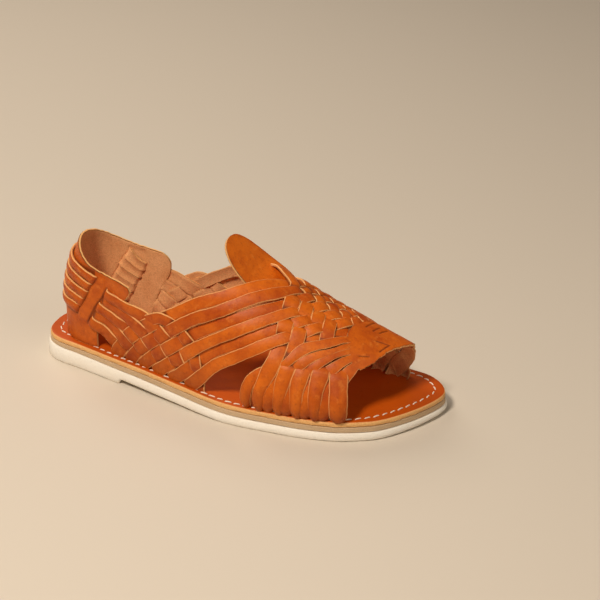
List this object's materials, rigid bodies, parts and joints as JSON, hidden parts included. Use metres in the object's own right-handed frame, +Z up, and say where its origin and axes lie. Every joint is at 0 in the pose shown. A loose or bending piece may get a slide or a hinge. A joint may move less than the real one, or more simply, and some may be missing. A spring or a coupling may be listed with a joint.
{
  "type": "woven leather sandal",
  "caption": "Right huarache sandal: upper plaited from leather straps, closed heel, open toe, short tongue, stitched flat sole with a low heel.",
  "frame": {"origin": "on the floor, under the middle of the overall box", "axes": "+X to the toe, +Y to the inner (big-toe) side, +Z up"},
  "size_m": [0.2846, 0.1056, 0.108],
  "materials": {
    "outsole": "matte cream, fine grained",
    "midsole": "matte beige",
    "insole": "polished chestnut, pale raw edge, off-white stitching",
    "upper": "satin orange-tan, pale raw edges, suede flesh side",
    "tongue": "satin orange-tan, pale raw edges"
  },
  "bodies": {
    "root": {"outsole": "outsole", "midsole": "midsole", "insole": "insole", "upper": "upper", "tongue": "tongue"}
  },
  "joints": []
}
